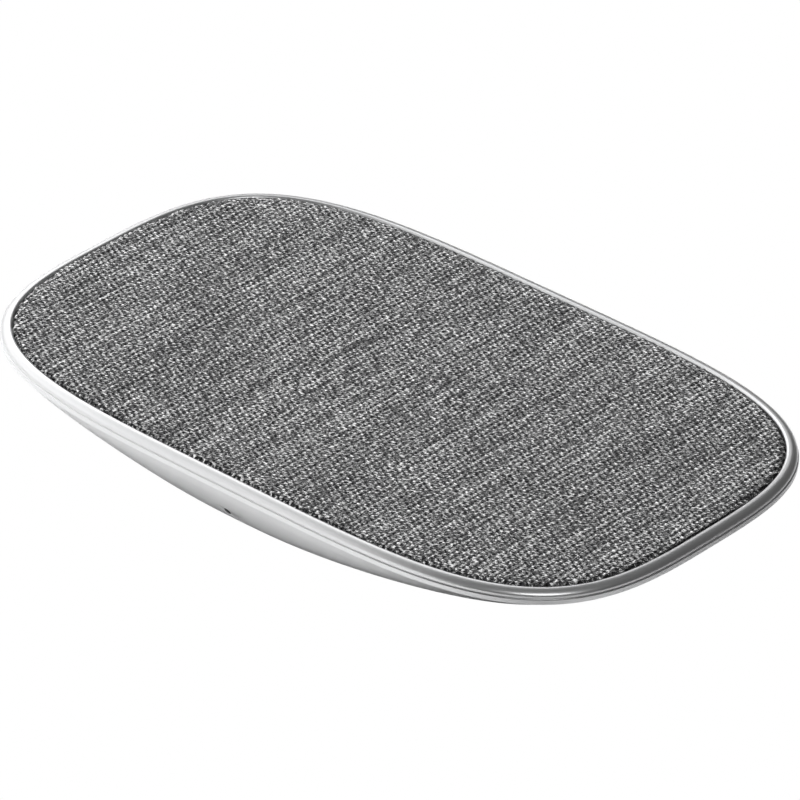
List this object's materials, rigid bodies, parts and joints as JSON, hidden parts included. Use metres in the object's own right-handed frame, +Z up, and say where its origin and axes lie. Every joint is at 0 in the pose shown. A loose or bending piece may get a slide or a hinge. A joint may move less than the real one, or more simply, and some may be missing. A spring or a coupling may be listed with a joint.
{
  "type": "wireless charging pad",
  "caption": "Low rounded-rectangle charging pad: cloth-covered top plate in a satin metal tray with a rounded bead and sloping underside, coil and circuit board inside, power inlet at the back.",
  "frame": {"origin": "centre of the pad's underside, on the surface that it lies on", "axes": "+X along the long side, +Y towards the power inlet at the back, +Z up"},
  "size_m": [0.15, 0.0892, 0.0106],
  "materials": {
    "satin_aluminium": "bead-blasted and clear anodised, satin",
    "melange_cloth": "plain woven grey melange cloth, matt",
    "clear_film": "pale adhesive film",
    "black_plastic": "moulded black plastic, fine texture",
    "dark_rubber": "fine-textured dark grey rubber",
    "plated_steel": "zinc-plated steel",
    "smoked_lens": "smoked clear plastic, dark while unlit",
    "green_board": "green solder mask",
    "white_led": "cast resin",
    "red_insulation": "red wire insulation",
    "chip_black": "moulded epoxy, matt black",
    "ceramic_tan": "fired ceramic",
    "gold_contacts": "gold plating",
    "copper_wire": "enamelled copper wire",
    "grey_ferrite": "pressed ferrite, dark grey",
    "thin_shield": "bare aluminium sheet",
    "thermal_blue": "soft silicone, pale blue"
  },
  "bodies": {
    "root": {"metal_shell": "satin_aluminium", "fabric_cover": "melange_cloth", "fabric_adhesive": "clear_film", "top_plate": "black_plastic", "base_pad": "dark_rubber", "base_adhesive": "clear_film", "base_screws": "plated_steel", "light_pipe": "smoked_lens", "led_board": "green_board", "status_led": "white_led", "led_leads": "red_insulation", "main_board": "green_board", "board_screws": "plated_steel", "controller_chip": "chip_black", "power_mosfets": "chip_black", "resonant_capacitors": "ceramic_tan", "power_inductor": "chip_black", "input_capacitors": "ceramic_tan", "chip_resistors": "chip_black", "crystal": "plated_steel", "usb_shell": "plated_steel", "usb_tongue": "black_plastic", "usb_contacts": "gold_contacts", "charging_coil": "copper_wire", "coil_tape": "clear_film", "ferrite_disc": "grey_ferrite", "coil_tray": "black_plastic", "tray_screws": "plated_steel", "shield_plate": "thin_shield", "coil_leads": "copper_wire", "thermistor": "chip_black", "thermal_pad": "thermal_blue"}
  },
  "joints": []
}
